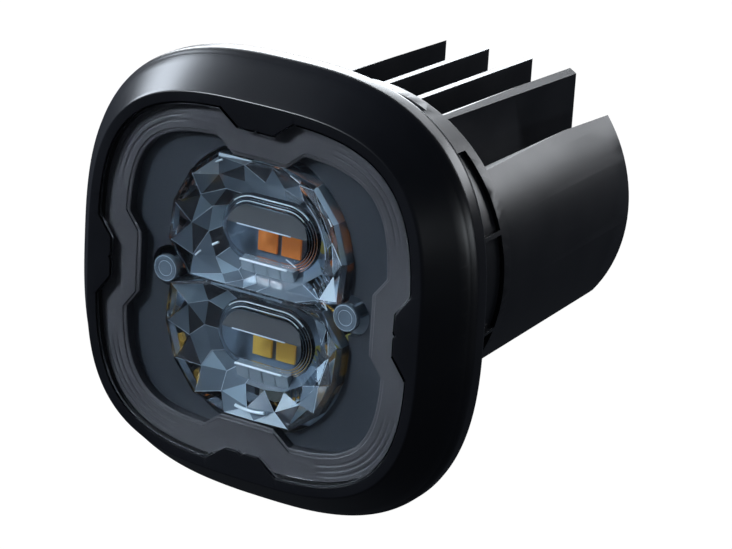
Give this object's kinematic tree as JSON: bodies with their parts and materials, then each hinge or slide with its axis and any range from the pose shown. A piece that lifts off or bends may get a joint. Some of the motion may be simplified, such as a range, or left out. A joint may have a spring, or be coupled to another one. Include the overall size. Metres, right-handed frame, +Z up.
{
  "type": "fog light",
  "caption": "Square-faced LED fog light with a sloped bezel, keyed clear lens, twin-bowl optic, round collar and a finned heat sink behind",
  "frame": {"origin": "centre of the rear face of the flange, where the round collar leaves it", "axes": "front faces -Y, +Z is up, +X is to the right of someone facing the lamp; the collar and fins run along +Y"},
  "size_m": [0.0746, 0.0789, 0.0746],
  "materials": {
    "cast_black": "die-cast aluminium, satin black anodised",
    "bezel_black": "satin black moulded plastic",
    "clear_lens": "clear polycarbonate with a light smoke tint",
    "seal_rubber": "black silicone rubber",
    "smoky_trim": "smoky grey moulded plastic",
    "tray_blue": "dark blue-grey moulded plastic",
    "clear_optic": "polished clear acrylic",
    "board_pale": "pale blue-grey solder mask",
    "board_green": "green solder mask",
    "amber_phosphor": "amber phosphor on a square chip",
    "yellow_phosphor": "yellow phosphor on a square chip",
    "olive_phosphor": "yellow-olive phosphor on a round chip",
    "socket_white": "off-white nylon",
    "pad_grey": "grey filled silicone pad",
    "plate_aluminium": "bare machined aluminium",
    "screw_steel": "zinc-plated steel",
    "coil_copper": "enamelled copper winding",
    "capacitor_sleeve": "dark blue shrink sleeve",
    "chip_black": "black epoxy",
    "wire_red": "red wire insulation",
    "wire_black": "black wire insulation",
    "gland_black": "black nylon",
    "bush_rubber": "soft black rubber",
    "membrane_white": "white porous membrane",
    "gasket_foam": "closed-cell black foam"
  },
  "bodies": {
    "root": {"heat_sink": "cast_black", "bezel": "bezel_black", "lens_cover": "clear_lens", "lens_seal": "seal_rubber", "inner_trim": "smoky_trim", "optic_tray": "tray_blue", "optic": "clear_optic", "optic_pins": "clear_optic", "led_board": "board_pale", "amber_leds": "amber_phosphor", "yellow_leds": "yellow_phosphor", "marker_leds": "olive_phosphor", "led_socket": "socket_white", "thermal_pad": "pad_grey", "heat_spreader": "plate_aluminium", "spreader_screws": "screw_steel", "driver_board": "board_green", "driver_coil": "coil_copper", "driver_capacitors": "capacitor_sleeve", "driver_chips": "chip_black", "driver_screws": "screw_steel", "link_wires": "wire_red", "lead_wires": "wire_black", "gland_body": "gland_black", "gland_seal": "seal_rubber", "gland_bush": "bush_rubber", "gland_nut": "gland_black", "vent_plug": "gland_black", "vent_membrane": "membrane_white", "bezel_screws": "screw_steel", "panel_gasket": "gasket_foam"}
  },
  "joints": []
}
